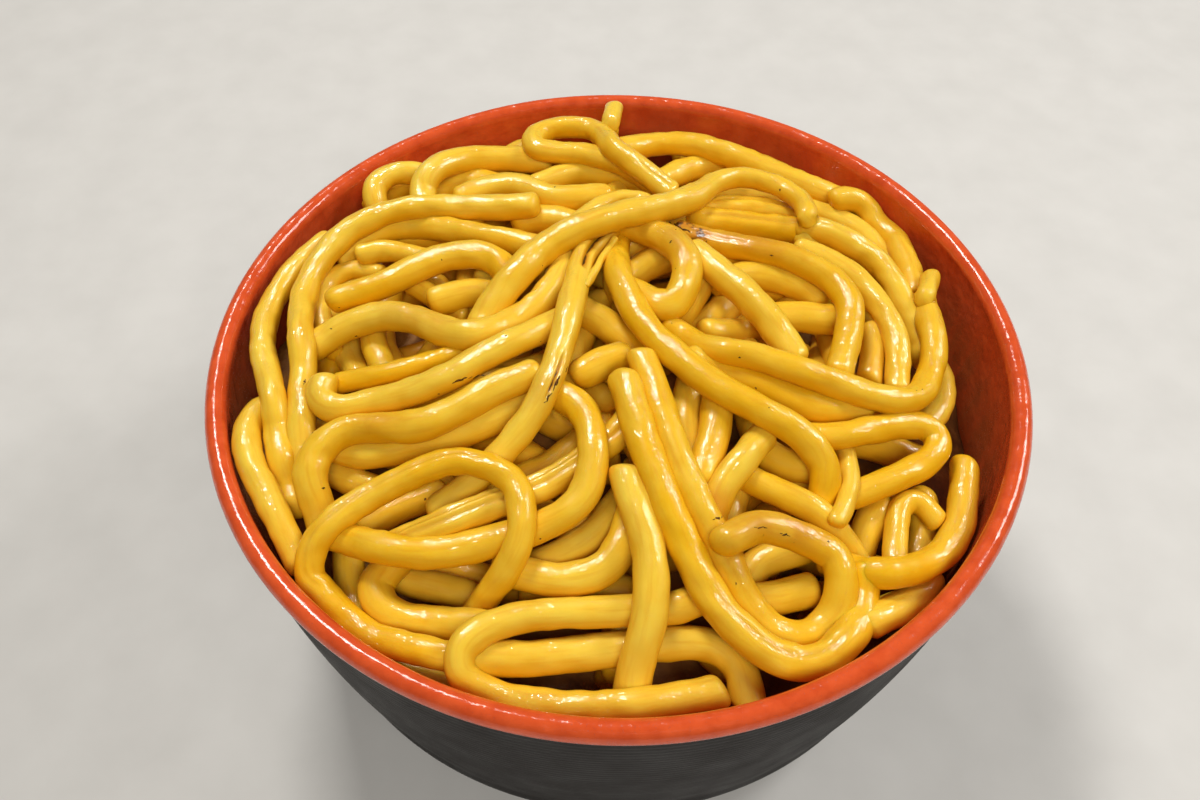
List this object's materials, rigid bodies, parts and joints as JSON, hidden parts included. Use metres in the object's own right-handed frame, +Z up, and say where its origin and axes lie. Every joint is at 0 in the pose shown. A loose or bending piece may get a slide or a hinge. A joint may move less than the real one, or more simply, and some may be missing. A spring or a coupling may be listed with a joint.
{
  "type": "bowl of lo mein noodles",
  "caption": "Deep round bowl, red inside and black outside with a rounded red rim, heaped with thick glossy yellow noodles.",
  "frame": {"origin": "middle of the foot ring's underside, on the surface that the bowl stands on", "axes": "+Z up, +X to the right and -Y to the front, as the picture shows the bowl"},
  "size_m": [0.16, 0.16, 0.0882],
  "materials": {
    "bowl": "lacquered resin: satin black outside with fine turned lines, glossy red inside and on the rim",
    "noodles": "wet, glossy, golden yellow cooked wheat noodle"
  },
  "bodies": {
    "root": {"bowl": "bowl", "noodle_heap": "noodles"}
  },
  "joints": []
}
